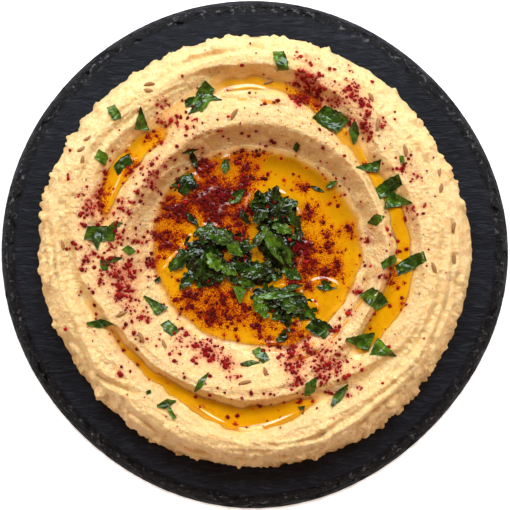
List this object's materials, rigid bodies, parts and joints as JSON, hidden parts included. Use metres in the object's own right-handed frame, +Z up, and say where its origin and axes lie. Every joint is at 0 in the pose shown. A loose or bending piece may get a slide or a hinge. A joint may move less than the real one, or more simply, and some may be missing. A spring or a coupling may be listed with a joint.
{
  "type": "hummus on a round slate plate",
  "caption": "Spoon-swirled hummus with an oil-filled well, oil in its grooves, chopped parsley, paprika and cumin seeds, on a round slate plate.",
  "frame": {"origin": "the middle of the slate plate's underside, on the surface that the plate rests on", "axes": "+Z up; +Y towards the far side of the plate, away from a viewer who sees the short oil groove nearest; +X to that viewer's right"},
  "size_m": [0.2206, 0.221, 0.027],
  "materials": {
    "slate": "satin",
    "hummus": "satin",
    "olive_oil": "gloss",
    "parsley": "satin",
    "paprika": "matte",
    "cumin": "matte"
  },
  "bodies": {
    "root": {"slate_plate": "slate", "hummus": "hummus", "oil_pool": "olive_oil", "oil_groove_right": "olive_oil", "oil_groove_top": "olive_oil", "oil_groove_left": "olive_oil", "oil_groove_bottom": "olive_oil", "parsley_heap": "parsley"}
  },
  "joints": []
}
